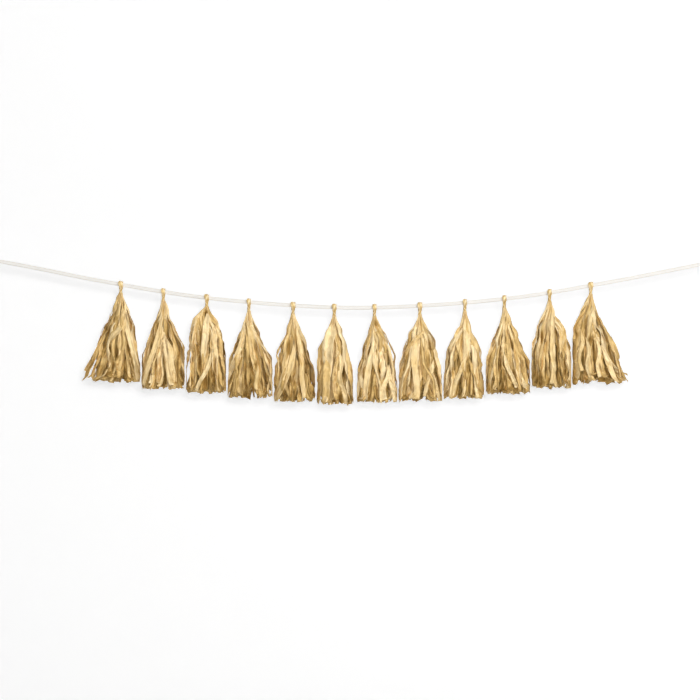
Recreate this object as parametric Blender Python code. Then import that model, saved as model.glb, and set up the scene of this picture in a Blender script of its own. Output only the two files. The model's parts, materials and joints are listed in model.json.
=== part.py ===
"""A tissue paper tassel garland: twelve slit tissue tassels hung by twisted loops on a ribbon.

X runs along the garland, Y away from the viewer, Z up. The origin is where the left hanging loop
bears on its hook. All lengths are in metres.
"""
import math
import random

import bmesh
import bpy
from mathutils import Vector

# Garland as it hangs between its two hooks
hanging_span = 2.0
hanging_sag = 0.14
right_hook_share = -0.05
solid_gap = 0.0003

# Ribbon, with the points of its route as shares of the span and of the sag
ribbon_width = 0.0095
ribbon_thickness = 0.0004
ribbon_stations = 76
ribbon_route_shares = (
    (0.0375, -0.104),
    (0.1140, -0.311),
    (0.1790, -0.497),
    (0.2950, -0.776),
    (0.4025, -0.933),
    (0.5060, -1.000),
    (0.6160, -0.940),
    (0.7210, -0.792),
    (0.8300, -0.529),
    (0.8900, -0.364),
    (0.9625, -0.156),
)

# Tied ends: knot, hanging loop and cut tail
knot_length = 0.017
knot_height = 0.013
knot_depth = 0.011
knot_segments = 12
knot_rings = 8
hook_radius = 0.005
loop_foot_spread = 0.0034
tail_length = 0.024
tail_slant = 0.007
tail_drift_share = 0.25

# Twisted paper loop of a tassel
loop_clearance = 0.0006
rope_thickness = 0.0042
rope_width = 0.0105
neck_width = 0.0082
leg_spacing = 0.0004
leg_join_depth = 0.0125
neck_depth = 0.0235
rope_sides = 8
loop_arc_steps = 9

# Tassel skirt, cut in strips
tassel_drop = 0.241
skirt_gap = 0.0025
curtain_gap = 0.0008
strip_thickness = 0.0012
strip_clearance = 0.0006
slit_width = 0.0014
neck_half_depth = 0.0047
skirt_depth_share = 0.58
hem_raggedness = 0.012
hem_slant = 0.006
hem_curl = 0.005
front_strips = 9
back_strips = 7
inner_strips = 5
inner_width_share = 0.62
inner_wave_share = 0.2
slit_jitter_share = 0.16
overlap_share = 0.10
taper_share = 0.05
sway_share = 0.25

# Heights of the outline's and the strips' rows, as shares of the drop, from shoulder to hem
outline_row_shares = (0.175, 0.284, 0.447, 0.653, 1.0)
strip_row_shares = (0.175, 0.284, 0.40, 0.56, 0.76, 1.0)

# Rows from which a slit may start, the likelier one twice
slit_start_rows = (2, 2, 3)

# Hem reach of the two free outer sides, as a share of the mean spacing
outer_reach_share = 0.72

# One row per tassel: place along the span, share of the gap to its right neighbour that it fills,
# share of the drop, then the left and right outlines above the hem as shares of the hem's reach
tassel_shares = (
    (0.2135, 0.48, 1.02, (0.18, 0.32, 0.63, 0.88), (0.22, 0.40, 0.62, 0.78)),
    (0.2666, 0.52, 1.01, (0.21, 0.34, 0.59, 0.92), (0.23, 0.38, 0.65, 0.92)),
    (0.3209, 0.47, 0.99, (0.50, 0.72, 0.84, 0.90), (0.27, 0.56, 0.78, 0.92)),
    (0.3735, 0.54, 1.00, (0.20, 0.38, 0.68, 0.84), (0.17, 0.37, 0.64, 1.00)),
    (0.4288, 0.56, 1.00, (0.22, 0.42, 0.68, 0.94), (0.24, 0.45, 0.67, 0.95)),
    (0.4803, 0.52, 1.00, (0.27, 0.50, 0.83, 1.00), (0.23, 0.47, 0.75, 0.90)),
    (0.5306, 0.52, 0.98, (0.22, 0.37, 0.64, 0.85), (0.28, 0.51, 0.81, 0.83)),
    (0.5873, 0.53, 0.99, (0.22, 0.55, 0.76, 0.98), (0.20, 0.45, 0.67, 0.84)),
    (0.6435, 0.51, 1.00, (0.15, 0.38, 0.77, 0.90), (0.18, 0.37, 0.74, 0.90)),
    (0.6928, 0.59, 1.00, (0.13, 0.30, 0.63, 0.94), (0.25, 0.39, 0.66, 0.89)),
    (0.7493, 0.55, 1.00, (0.29, 0.48, 0.76, 1.00), (0.22, 0.44, 0.78, 0.93)),
    (0.8008, 0.50, 1.03, (0.41, 0.57, 0.92, 1.00), (0.15, 0.28, 0.58, 0.82)),
)


def clear_scene():
    for item in list(bpy.data.objects):
        bpy.data.objects.remove(item, do_unlink=True)


def make_material(name, color, roughness):
    material = bpy.data.materials.new(name)
    material.use_nodes = True
    shader = material.node_tree.nodes["Principled BSDF"]
    shader.inputs["Base Color"].default_value = (*color, 1.0)
    shader.inputs["Roughness"].default_value = roughness
    shader.inputs["Metallic"].default_value = 0.0
    return material


def add_object(name, bm, material, place=(0, 0, 0), parent=None):
    """Turn a finished bmesh into a named object that hangs on its parent."""
    bm.normal_update()
    bmesh.ops.recalc_face_normals(bm, faces=bm.faces)
    mesh = bpy.data.meshes.new(name)
    bm.to_mesh(mesh)
    bm.free()
    item = bpy.data.objects.new(name, mesh)
    item.location = place
    item.parent = parent
    item.data.materials.append(material)
    bpy.context.collection.objects.link(item)
    return item


def sweep(sections):
    """Skin a row of cross-sections, each a ring of points, and cap both ends."""
    bm = bmesh.new()
    rings = [[bm.verts.new(point) for point in section] for section in sections]
    for ring, after in zip(rings, rings[1:]):
        for k in range(len(ring)):
            n = (k + 1) % len(ring)
            bm.faces.new((ring[k], ring[n], after[n], after[k]))
    bm.faces.new(rings[0])
    bm.faces.new(rings[-1])
    return bm


def ribbon_at(x):
    """Height and slope of the ribbon's centre line: a smooth curve through its route."""
    points = [(a * hanging_span, b * hanging_sag) for a, b in ribbon_route_shares]
    last = len(points) - 1
    slopes = []
    for i in range(len(points)):
        before, after = points[max(i - 1, 0)], points[min(i + 1, last)]
        slopes.append((after[1] - before[1]) / (after[0] - before[0]))
    i = max(k for k in range(last) if k == 0 or points[k][0] <= x)
    step = points[i + 1][0] - points[i][0]
    t = (x - points[i][0]) / step
    rise = points[i + 1][1] - points[i][1]
    start, end = slopes[i] * step, slopes[i + 1] * step
    c2 = 3 * rise - 2 * start - end
    c3 = start + end - 2 * rise
    height = points[i][1] + t * (start + t * (c2 + t * c3))
    return height, (start + t * (2 * c2 + 3 * t * c3)) / step


def band_section(centre, across, out, width, thickness):
    """The four corners of a flat band's cross-section."""
    half_width, half_thickness = across * width / 2, out * thickness / 2
    return (
        centre - half_width - half_thickness,
        centre + half_width - half_thickness,
        centre + half_width + half_thickness,
        centre - half_width + half_thickness,
    )


def hairpin(radius, foot, join, end, steps):
    """A bend of one radius round the origin, whose legs close in to the foot at the join.

    Gives (sideways, up) pairs from the right foot round to the left one.
    """
    reach = math.hypot(foot, join)
    start = math.atan2(-join, foot) + math.acos(radius / reach)
    turn = math.pi - 2 * start
    arc = [start + turn * k / steps for k in range(steps + 1)]
    path = [(foot, -join)] + [(radius * math.cos(a), radius * math.sin(a)) for a in arc]
    path.append((-foot, -join))
    if end > join:
        path = [(foot, -end)] + path + [(-foot, -end)]
    return path


def path_normals(path):
    """Unit vectors square to a path of pairs, on its right-hand side."""
    normals = []
    for k in range(len(path)):
        before, after = path[max(k - 1, 0)], path[min(k + 1, len(path) - 1)]
        along = Vector((after[0] - before[0], after[1] - before[1])).normalized()
        normals.append((along[1], -along[0]))
    return normals


def end_frame(side):
    """Bearing point, outward direction and knot centre of one end of the ribbon."""
    knot_share = ribbon_route_shares[0] if side < 0 else ribbon_route_shares[-1]
    knot = Vector((knot_share[0] * hanging_span, 0, knot_share[1] * hanging_sag))
    bearing = Vector((0, 0, 0))
    if side > 0:
        bearing = Vector((hanging_span, 0, right_hook_share * hanging_sag))
    return bearing, (bearing - knot).normalized(), knot


def build_ribbon(material):
    left = end_frame(-1)
    right = end_frame(1)
    inset = knot_length / 2 + solid_gap
    first = (left[2] - left[1] * inset).x
    last = (right[2] - right[1] * inset).x
    sections = []
    for k in range(ribbon_stations):
        x = first + (last - first) * k / (ribbon_stations - 1)
        height, slope = ribbon_at(x)
        up = Vector((-slope, 0, 1)).normalized()
        sections.append(band_section(Vector((x, 0, height)), up, Vector((0, 1, 0)),
                                     ribbon_width, ribbon_thickness))
    add_object("ribbon", sweep(sections), material)


def build_end(name, side, material):
    """The knot, the loop that goes over the hook, and the cut tail."""
    bearing, outward, knot = end_frame(side)
    upward = Vector((-outward.z, 0, outward.x)) * side
    depth = Vector((0, 1, 0))

    bm = bmesh.new()
    bmesh.ops.create_uvsphere(bm, u_segments=knot_segments, v_segments=knot_rings, radius=1)
    for vert in bm.verts:
        unit = vert.co.copy()
        vert.co = (outward * unit.z * knot_length / 2 + depth * unit.y * knot_depth / 2
                   + upward * unit.x * knot_height / 2)
    add_object(name + "_knot", bm, material, knot)

    centre = bearing - outward * hook_radius
    foot_depth = (centre - knot).length - knot_length / 2 - solid_gap
    bend = hook_radius + ribbon_thickness / 2
    path = hairpin(bend, loop_foot_spread / 2, foot_depth, foot_depth, 2 * loop_arc_steps)
    sections = []
    for (sideways, along), normal in zip(path, path_normals(path)):
        point = centre + upward * sideways + outward * along
        out = upward * normal[0] + outward * normal[1]
        sections.append(band_section(point, depth, out, ribbon_width, ribbon_thickness))
    add_object(name + "_hanging_loop", sweep(sections), material)

    top = knot - upward * (knot_height / 2 + solid_gap)
    drift = Vector((side * tail_drift_share, 0, -1)).normalized()
    across = Vector((-drift.z, 0, drift.x))
    tip = top + drift * tail_length
    half_slant = drift * tail_slant / 2
    sections = [band_section(point, across, depth, ribbon_width, ribbon_thickness)
                for point in (top, tip)]
    skew = (-half_slant, half_slant, half_slant, -half_slant)
    sections[1] = [corner + shift for corner, shift in zip(sections[1], skew)]
    add_object(name + "_cut_tail", sweep(sections), material)


def build_loop(name, slope, material, parent):
    """The twisted middle of the tissue, bent over the ribbon into a loop with two close legs."""
    radius = ribbon_width / 2 + loop_clearance + rope_thickness / 2
    foot = (rope_thickness + leg_spacing) / 2
    path = hairpin(radius, foot, leg_join_depth, neck_depth, loop_arc_steps)
    sections = []
    for (y, z), normal in zip(path, path_normals(path)):
        lowness = min(max((radius - z) / (radius + leg_join_depth), 0), 1)
        half_width = (rope_width + (neck_width - rope_width) * lowness) / 2
        section = []
        for k in range(rope_sides):
            angle = 2 * math.pi * (k + 0.5) / rope_sides
            out = math.sin(angle) * rope_thickness / 2
            x = math.cos(angle) * half_width
            section.append((x, y + normal[0] * out, z + normal[1] * out + x * slope * (1 - lowness)))
        sections.append(section)
    add_object(name, sweep(sections), material, parent=parent)


def outline_reach(row_share, neck, shares, hem):
    """Half width of a skirt at a height, between the neck and the hem."""
    neck_share = neck_depth / tassel_drop
    heights = (neck_share,) + outline_row_shares
    reaches = [neck] + [share * hem for share in shares] + [hem]
    for k in range(1, len(heights)):
        if row_share <= heights[k] or k == len(heights) - 1:
            t = (row_share - heights[k - 1]) / (heights[k] - heights[k - 1])
            return reaches[k - 1] + (reaches[k] - reaches[k - 1]) * t


def skirt_point(tassel, facing, s, row_share, inset):
    """A point on the skirt's front (facing -1) or back (facing 1) at share s from left to right."""
    half_neck = neck_width / 2
    left = outline_reach(row_share, half_neck, tassel["left_shares"], tassel["left_hem"])
    right = outline_reach(row_share, half_neck, tassel["right_shares"], tassel["right_hem"])
    spread = ((left + right) / 2 - half_neck) * skirt_depth_share
    edge = strip_thickness / 2 + inset
    turn = math.pi * s
    x = -math.cos(turn) * ((left if s < 0.5 else right) - edge)
    side = (curtain_gap + strip_thickness) / 2
    y = facing * (side + (neck_half_depth + spread - edge - side) * math.sin(turn))
    return x, y


def sheet_point(tassel, kind, s, row_share, inset, wave):
    """A point on the front, back or inner sheet of a tassel."""
    if kind == "front":
        return skirt_point(tassel, -1, s, row_share, inset)
    x, y = skirt_point(tassel, 1, s, row_share, inset)
    if kind == "back":
        return x, y
    return x * inner_width_share, y * inner_wave_share * wave


def sheet_borders(rng, count):
    """Shares across a sheet where its strips meet, and the row where each slit starts."""
    jitter = slit_jitter_share / count
    borders = [k / count for k in range(count + 1)]
    for k in range(1, count):
        borders[k] += rng.uniform(-jitter, jitter)
    starts = [0] + [rng.choice(slit_start_rows) for _ in range(1, count)] + [0]
    return borders, starts


def build_strips(name, tassel, kind, count, material, parent):
    """One sheet that is whole at the neck and slit into strips below, thickened into a solid.

    Every second outer strip lies a layer deeper and widens downward, so that the strips shingle.
    The inner strips keep to their own slots and only wave.
    """
    rng = random.Random(name)
    rows = (neck_depth / tassel_drop,) + strip_row_shares
    last = len(strip_row_shares)
    drop = tassel_drop * tassel["drop_share"]
    layer = strip_thickness + strip_clearance
    slit_share = slit_width / (math.pi * (tassel["left_hem"] + tassel["right_hem"]) / 2)
    borders, starts = sheet_borders(rng, count)

    bm = bmesh.new()
    whole = {}
    for k in range(count):
        deep = kind != "inner" and k % 2 == 1
        widening = (overlap_share if deep else -taper_share) / count
        sways = kind != "inner" and 0 < k < count - 1
        sway = rng.uniform(-sway_share, sway_share) / count if sways else 0
        ragged = rng.uniform(0, hem_raggedness)
        slant = rng.uniform(-hem_slant, hem_slant) / 2
        curl = rng.uniform(0, hem_curl)
        wave = rng.uniform(-1, 1)
        loose_from = max(starts[k], starts[k + 1]) + 1
        columns = []
        for border, outward in ((k, -1), (k + 1, 1)):
            column = []
            for row in range(last + 1):
                if (border, row) in whole:
                    column.append(whole[border, row])
                    continue
                cut = 0 < border < count and row > starts[border]
                free = row - starts[border] if cut else 0
                s = borders[border] + outward * max(free - 1, 0) * widening
                if cut:
                    s -= outward * slit_share
                s += sway * max(row - loose_from, 0) / (last - loose_from)
                inset = layer * free * deep
                z = -rows[row] * drop
                if row == 0:
                    z = -neck_depth - solid_gap - strip_thickness / 2
                elif row == last:
                    z += ragged - slant * outward
                    inset += curl
                x, y = sheet_point(tassel, kind, s, rows[row], inset, wave * free / last)
                vert = bm.verts.new((x, y, z))
                column.append(vert)
                if not cut:
                    whole[border, row] = vert
            columns.append(column)
        left, right = columns
        for row in range(last):
            bm.faces.new((left[row], left[row + 1], right[row + 1], right[row]))
    item = add_object(name, bm, material, parent=parent)
    solid = item.modifiers.new("thickness", "SOLIDIFY")
    solid.thickness = strip_thickness
    solid.offset = 0


def build_tassels(material):
    places = [row[0] * hanging_span for row in tassel_shares]
    spacings = [right - left for left, right in zip(places, places[1:])]
    mean_spacing = sum(spacings) / len(spacings)
    outer = mean_spacing * outer_reach_share
    for k, (_, fill, drop_share, left_shares, right_shares) in enumerate(tassel_shares):
        name = "tassel_%02d" % (k + 1)
        left = outer if k == 0 else spacings[k - 1] * (1 - tassel_shares[k - 1][1]) - skirt_gap / 2
        right = outer if k == len(spacings) else spacings[k] * fill - skirt_gap / 2
        tassel = {
            "drop_share": drop_share,
            "left_hem": left,
            "right_hem": right,
            "left_shares": left_shares,
            "right_shares": right_shares,
        }
        height, slope = ribbon_at(places[k])
        hanger = bpy.data.objects.new(name + "_hanger", None)
        hanger.location = (places[k], 0, height)
        bpy.context.collection.objects.link(hanger)
        build_loop(name + "_twisted_loop", slope, material, hanger)
        build_strips(name + "_front_strips", tassel, "front", front_strips, material, hanger)
        build_strips(name + "_inner_strips", tassel, "inner", inner_strips, material, hanger)
        build_strips(name + "_back_strips", tassel, "back", back_strips, material, hanger)


clear_scene()
ribbon_material = make_material("cream_ribbon", (0.93, 0.89, 0.82), 0.55)
tissue_material = make_material("gold_tissue", (0.63, 0.43, 0.16), 0.6)
build_ribbon(ribbon_material)
build_end("left", -1, ribbon_material)
build_end("right", 1, ribbon_material)
build_tassels(tissue_material)
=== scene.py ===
"""The looks of a tissue paper tassel garland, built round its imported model."""
import bisect
import json
import math
import random

import bmesh
import bpy
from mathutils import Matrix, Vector, noise


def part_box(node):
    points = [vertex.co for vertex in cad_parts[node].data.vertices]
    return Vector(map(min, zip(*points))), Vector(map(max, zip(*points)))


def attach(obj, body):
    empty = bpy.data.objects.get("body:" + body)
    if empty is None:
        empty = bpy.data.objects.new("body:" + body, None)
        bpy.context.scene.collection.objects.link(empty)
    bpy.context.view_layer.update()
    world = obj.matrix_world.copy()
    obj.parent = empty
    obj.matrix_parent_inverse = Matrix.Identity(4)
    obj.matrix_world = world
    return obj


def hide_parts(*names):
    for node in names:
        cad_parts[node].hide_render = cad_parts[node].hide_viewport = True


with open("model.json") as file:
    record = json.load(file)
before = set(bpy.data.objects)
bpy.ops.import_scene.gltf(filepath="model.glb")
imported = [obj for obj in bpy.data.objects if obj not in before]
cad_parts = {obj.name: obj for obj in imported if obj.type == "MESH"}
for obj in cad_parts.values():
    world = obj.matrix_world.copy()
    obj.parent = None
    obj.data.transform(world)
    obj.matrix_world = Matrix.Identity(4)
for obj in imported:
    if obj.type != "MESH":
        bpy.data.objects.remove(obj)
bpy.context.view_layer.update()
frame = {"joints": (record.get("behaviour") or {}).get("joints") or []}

# Camera. The garland is seen straight on from far off, and its ribbon runs out of the picture on
# both sides, as it does when it is stretched along a wall.
view_width = 1.75
camera_distance = 8.0
view_centre = Vector((1.0, 0, -0.2456))
camera_data = bpy.data.cameras.new("camera")
camera_data.lens = camera_data.sensor_width * camera_distance / view_width
camera = bpy.data.objects.new("camera", camera_data)
camera.location = view_centre - Vector((0, camera_distance, 0))
camera.rotation_euler = (math.radians(90), 0, 0)
bpy.context.collection.objects.link(camera)
bpy.context.scene.camera = camera
bpy.context.scene.view_settings.view_transform = "Standard"

# Ribbon. One length of flat woven satin, 9.5 mm wide, with a firmer selvage along both edges. It
# hangs in a shallow curve from knot to knot and carries all twelve tassels.
ribbon_width = 0.0095
ribbon_thickness = 0.0004
ribbon_tilt = 0.12
ribbon_bow = 0.0004
ribbon_steps, ribbon_columns = 360, 4
path_steps = 120
satin_cream, satin_white = (0.89, 0.86, 0.81, 1), (0.93, 0.905, 0.86, 1)
# A darker cream for both edges of the ribbon, painted edge shade.
painted_edge_shade_cream = (0.78, 0.72, 0.63, 1)
selvage_sharpness = 6.0
warp_waves, weft_waves = 9000.0, 14000.0
# The centre line: how far along the garland, and how high.
ribbon_route = (
    (0.075, -0.01456), (0.228, -0.04354), (0.358, -0.06958), (0.590, -0.10864),
    (0.805, -0.13062), (1.012, -0.14000), (1.232, -0.13160), (1.442, -0.11088),
    (1.660, -0.07406), (1.780, -0.05096), (1.925, -0.02184),
)


def curve_part(low, high, start, end, t):
    """Value and slope of a smooth curve between two points, from its slopes at both."""
    rise = high - low
    c2 = 3 * rise - 2 * start - end
    c3 = start + end - 2 * rise
    return low + t * (start + t * (c2 + t * c3)), start + t * (2 * c2 + 3 * t * c3)


def curve_through(points, x):
    """Height and slope, at one place, of a smooth curve through points of place and height."""
    last = len(points) - 1
    k = max(i for i in range(last) if i == 0 or points[i][0] <= x)
    step = points[k + 1][0] - points[k][0]
    slopes = []
    for j in (k, k + 1):
        before, after = points[max(j - 1, 0)], points[min(j + 1, last)]
        slopes.append((after[1] - before[1]) / (after[0] - before[0]) * step)
    height, rise = curve_part(points[k][1], points[k + 1][1], *slopes, (x - points[k][0]) / step)
    return height, rise / step


class Shade:
    """A socket of a material, so that sums on it can be written as they are read."""

    def __init__(self, tree, output=None):
        self.tree = tree
        self.output = output

    def node(self, kind, settings=None, values=None, output=0):
        """Add a node: its settings first, a ramp's stops among them, then values or links."""
        made = self.tree.nodes.new(kind)
        for name, value in (settings or {}).items():
            if name == "stops":
                stops = made.color_ramp.elements
                while len(stops) < len(value):
                    stops.new(1.0)
                for stop, (place, color) in zip(stops, value):
                    stop.position = place
                    stop.color = color
            else:
                setattr(made, name, value)
        for key, value in (values or {}).items():
            if isinstance(value, Shade):
                self.tree.links.new(value.output, made.inputs[key])
            else:
                made.inputs[key].default_value = value
        return Shade(self.tree, made.outputs[output])

    def math(self, operation, *values):
        return self.node("ShaderNodeMath", {"operation": operation}, dict(enumerate(values)))

    def __abs__(self):
        return self.math("ABSOLUTE", self)

    def __add__(self, other):
        return self.math("ADD", self, other)

    def __sub__(self, other):
        return self.math("SUBTRACT", self, other)

    def __rsub__(self, other):
        return self.math("SUBTRACT", other, self)

    def __mul__(self, other):
        return self.math("MULTIPLY", self, other)

    def __truediv__(self, other):
        return self.math("DIVIDE", self, other)

    def __pow__(self, other):
        return self.math("POWER", self, other)

    __radd__ = __add__
    __rmul__ = __mul__

    def blend(self, first, second):
        """A colour between two, by this share."""
        return self.node("ShaderNodeMix", {"data_type": "RGBA"},
                         {0: self, 6: first, 7: second}, output=2)


def new_material(name, **constants):
    """A material with a Principled shader whose plain values are set on its own sockets."""
    material = bpy.data.materials.new(name)
    material.use_nodes = True
    shader = material.node_tree.nodes["Principled BSDF"]
    for socket, value in constants.items():
        shader.inputs[socket.replace("_", " ")].default_value = value
    return material, shader, Shade(material.node_tree)


def plug(shader, socket, shade):
    shade.tree.links.new(shade.output, shader.inputs[socket])


def finish_piece(name, bm, material, body, nodes, thickness):
    """Turn a bmesh of sheet into a named piece that rides on a body and stands for CAD nodes."""
    mesh = bpy.data.meshes.new(name)
    bm.to_mesh(mesh)
    bm.free()
    mesh.materials.append(material)
    mesh.shade_smooth()
    piece = bpy.data.objects.new(name, mesh)
    bpy.context.collection.objects.link(piece)
    if thickness:
        solid = piece.modifiers.new("thickness", "SOLIDIFY")
        solid.thickness = thickness
        solid.offset = 0
    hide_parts(*nodes)
    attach(piece, body)
    return piece


def lay_out(bm, uv, spots):
    """Give every corner of a piece its place on the flat ribbon or sheet, for the patterns."""
    for face in bm.faces:
        for loop in face.loops:
            loop[uv].uv = spots[loop.vert]


def band(steps, across, place):
    """A long strip of faces. The rule gives a point and its place on the flat strip, from the
    share along it and how far it is to one side, from -1 to 1."""
    bm = bmesh.new()
    bmesh.ops.create_grid(bm, x_segments=steps, y_segments=across, size=0.5)
    uv = bm.loops.layers.uv.new("UVMap")
    spots = {}
    for vert in bm.verts:
        along, side = vert.co.x + 0.5, vert.co.y * 2
        vert.co, spots[vert] = place(along, side)
    lay_out(bm, uv, spots)
    return bm


satin, satin_shader, paint = new_material(
    "cream_satin", Roughness=0.42, Sheen_Weight=0.15, Specular_IOR_Level=0.35)
place_on_ribbon = paint.node("ShaderNodeUVMap", {"uv_map": "UVMap"})
along_ribbon = paint.node("ShaderNodeSeparateXYZ", values={0: place_on_ribbon})
across_ribbon = Shade(paint.tree, along_ribbon.output.node.outputs[1])
edge = (abs(across_ribbon) / (ribbon_width / 2)) ** selvage_sharpness
warp = paint.math("SINE", along_ribbon * warp_waves)
weft = paint.math("SINE", across_ribbon * weft_waves)
cloud = paint.node("ShaderNodeTexNoise", values={
    "Vector": place_on_ribbon, "Scale": 60.0, "Detail": 3.0, "Roughness": 0.5})
body_tone = cloud.blend(satin_cream, satin_white)
# The cream turns darker towards both edges as painted edge shade. The same mask also raises the
# real selvage in the bump.
plug(satin_shader, "Base Color", edge.blend(body_tone, painted_edge_shade_cream))
weave = warp * 0.5 + weft * 0.5 + edge * 2.0 + cloud * 1.5
plug(satin_shader, "Normal", paint.node(
    "ShaderNodeBump", values={"Strength": 0.25, "Distance": 0.0002, "Height": weave}))

ribbon_low, ribbon_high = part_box("ribbon")
ribbon_start, ribbon_end = ribbon_low.x, ribbon_high.x


def ribbon_place(along, side):
    """A point of the ribbon, which tilts and bows a little between one tassel and the next."""
    x = ribbon_start + (ribbon_end - ribbon_start) * along
    height, slope = curve_through(ribbon_route, x)
    up = Vector((-slope, 0, 1)).normalized()
    tilt = ribbon_tilt * noise.noise(Vector((x * 7, 0.3, 0)))
    bow = ribbon_bow * noise.noise(Vector((x * 18, 4.1, 0)))
    half = side * ribbon_width / 2
    point = Vector((x, bow, height)) + up * half + Vector((0, 1, 0)) * half * tilt
    return point, (x, half)


ribbon = finish_piece(
    "satin_ribbon", band(ribbon_steps, ribbon_columns, ribbon_place), satin, "ribbon_line",
    ["ribbon"], ribbon_thickness)
for step in range(path_steps + 1):
    x = ribbon_start + (ribbon_end - ribbon_start) * step / path_steps
    curve_through(ribbon_route, x)[0]

# Tied ends. At each end the ribbon is doubled back into a loop for a hook and closed with an
# overhand knot, and its cut tail hangs out of the knot with a slanted end.
knot_size = Vector((0.0165, 0.0105, 0.0125))
knot_band = 0.0058
knot_band_thickness = 0.0006
winding_size, winding_depth = 0.82, 0.75
ribbon_per_radian = 0.008
knot_overlap = 0.0005
hook_radius = 0.005
loop_foot = 0.0018
tail_length = 0.024
tail_slant = 0.007
tail_bow, tail_turn = 0.0016, 2.4
tail_overlap = 0.001
winding_steps, loop_steps, tail_steps = 72, 80, 20
weld_distance = 0.00002
tail_drifts = (-0.25, 0.25)
knot_centres = [Vector((x, 0, z)) for x, z in (ribbon_route[0], ribbon_route[-1])]
bearings = (Vector((0, 0, 0)), Vector((2.0, 0, -0.007)))
deep = Vector((0, 1, 0))
for side_name, knot, bearing, tail_drift in zip(
        ("left", "right"), knot_centres, bearings, tail_drifts):
    outward = (bearing - knot).normalized()
    upward = outward.cross(deep)
    upward = upward if upward.z > 0 else -upward

    def knot_line(turn):
        """The winding of an overhand knot, as shares of the knot's half size."""
        return Vector((
            (math.sin(turn) + 2 * math.sin(2 * turn)) / 3,
            -math.sin(3 * turn) * winding_depth,
            (math.cos(turn) - 2 * math.cos(2 * turn)) / 3,
        ))

    def knot_place(along, side):
        """The ribbon lies flat on the knot all along its winding."""
        turn = along * 2 * math.pi
        here = knot_line(turn)
        ahead = knot_line(turn + 0.02)
        spot = here * (knot_size / 2) * winding_size
        over = (ahead - here).normalized().cross(spot.normalized()).normalized()
        spot += over * side * knot_band / 2
        return (knot + outward * spot.x + deep * spot.y + upward * spot.z,
                (turn * ribbon_per_radian, side * ribbon_width / 2))

    reach = (bearing - knot).length - hook_radius - knot_size.x / 2

    def loop_place(along, side):
        """The loop runs out from the knot, round the hook and back to the knot."""
        straight = math.hypot(reach, hook_radius)
        bend = math.pi * hook_radius
        total = 2 * straight + bend
        run = along * total
        if run < straight:
            share = run / straight
            up_side = loop_foot + (hook_radius - loop_foot) * math.sin(share * math.pi / 2)
            out = share * reach
        elif run < straight + bend:
            angle = (run - straight) / hook_radius
            up_side = math.cos(angle) * hook_radius
            out = reach + math.sin(angle) * hook_radius
        else:
            share = (total - run) / straight
            up_side = -loop_foot - (hook_radius - loop_foot) * math.sin(share * math.pi / 2)
            out = share * reach
        spot = knot + outward * (knot_size.x / 2 - knot_overlap + out) + upward * up_side
        spot += deep * side * ribbon_width / 2
        return spot, (run, side * ribbon_width / 2)

    def tail_place(along, side):
        """The tail falls from the knot, bows a little and ends in a slanted cut."""
        fall = Vector((tail_drift, 0, -1)).normalized()
        over = Vector((-fall.z, 0, fall.x))
        length = tail_length - side * tail_slant / 2
        spot = knot - upward * (knot_size.z / 2 - tail_overlap) + fall * along * length
        spot += over * side * ribbon_width / 2
        spot += deep * tail_bow * math.sin(along * tail_turn) * (1 + 0.3 * side)
        return spot, (along * length, side * ribbon_width / 2)

    for name, node, steps, place, thickness in (
            ("_overhand_knot", "_knot", winding_steps, knot_place, knot_band_thickness),
            ("_hook_loop", "_hanging_loop", loop_steps, loop_place, ribbon_thickness),
            ("_slanted_tail", "_cut_tail", tail_steps, tail_place, ribbon_thickness)):
        bm = band(steps, ribbon_columns, place)
        if place is knot_place:
            bmesh.ops.remove_doubles(bm, verts=bm.verts, dist=weld_distance)
        finish_piece(
            side_name + name, bm, satin, "ribbon_line", [side_name + node],
            thickness)

# Twisted loops. The middle of each tassel's folded tissue is rolled into a crumpled cord, bent
# over the ribbon, and its two legs are twisted round each other under it.
gold_shadow, gold_middle = (0.44, 0.27, 0.07, 1), (0.68, 0.465, 0.175, 1)
gold_light = (0.88, 0.70, 0.40, 1)
tissue_roughness, roughness_spread = 0.46, 0.18
tissue, tissue_shader, paint = new_material(
    "gold_tissue_paper", Metallic=0.35, Specular_IOR_Level=0.5)
place_on_sheet = paint.node("ShaderNodeUVMap", {"uv_map": "UVMap"})
stretched = paint.node("ShaderNodeMapping", values={
    "Vector": place_on_sheet, "Scale": (420.0, 46.0, 1.0)})
grain = paint.node("ShaderNodeTexNoise", values={
    "Vector": stretched, "Scale": 1.0, "Detail": 5.0, "Roughness": 0.6, "Distortion": 0.6})
slanted = paint.node("ShaderNodeMapping", values={
    "Vector": place_on_sheet, "Rotation": (0, 0, 0.3), "Scale": (95.0, 30.0, 1.0)})
wander = paint.node("ShaderNodeTexNoise", values={
    "Vector": slanted, "Scale": 1.0, "Detail": 1.5, "Roughness": 0.5, "Distortion": 0.5})
crease = 1 - abs(wander - 0.5) * 6.0
facets = paint.node("ShaderNodeMapping", values={
    "Vector": place_on_sheet, "Rotation": (0, 0, -0.25), "Scale": (1.0, 0.6, 1.0)})
crumple = paint.node("ShaderNodeTexVoronoi", {"feature": "F1"}, {
    "Vector": facets, "Scale": 85.0, "Randomness": 1.0})
blotch = paint.node("ShaderNodeTexNoise", values={
    "Vector": place_on_sheet, "Scale": 30.0, "Detail": 4.0, "Roughness": 0.6})
# The tone layer carries each strip's own tone, together with painted light and shade from the loops
# and skirts.
tone_and_shade = paint.node("ShaderNodeAttribute", {"attribute_name": "tone"}, output=2)
tone = tone_and_shade * 0.5 + blotch * 0.4 + grain * 0.1
gold_ramp = paint.node("ShaderNodeValToRGB", {"stops": (
    (0.25, gold_shadow), (0.48, gold_middle), (0.72, gold_light))}, {0: tone})
plug(tissue_shader, "Base Color", gold_ramp)
plug(tissue_shader, "Roughness", tissue_roughness + grain * roughness_spread)
relief = crease * 0.7 + crumple * 1.2 + grain * 0.2
plug(tissue_shader, "Normal", paint.node(
    "ShaderNodeBump", values={"Strength": 0.6, "Distance": 0.0016, "Height": relief}))

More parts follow.
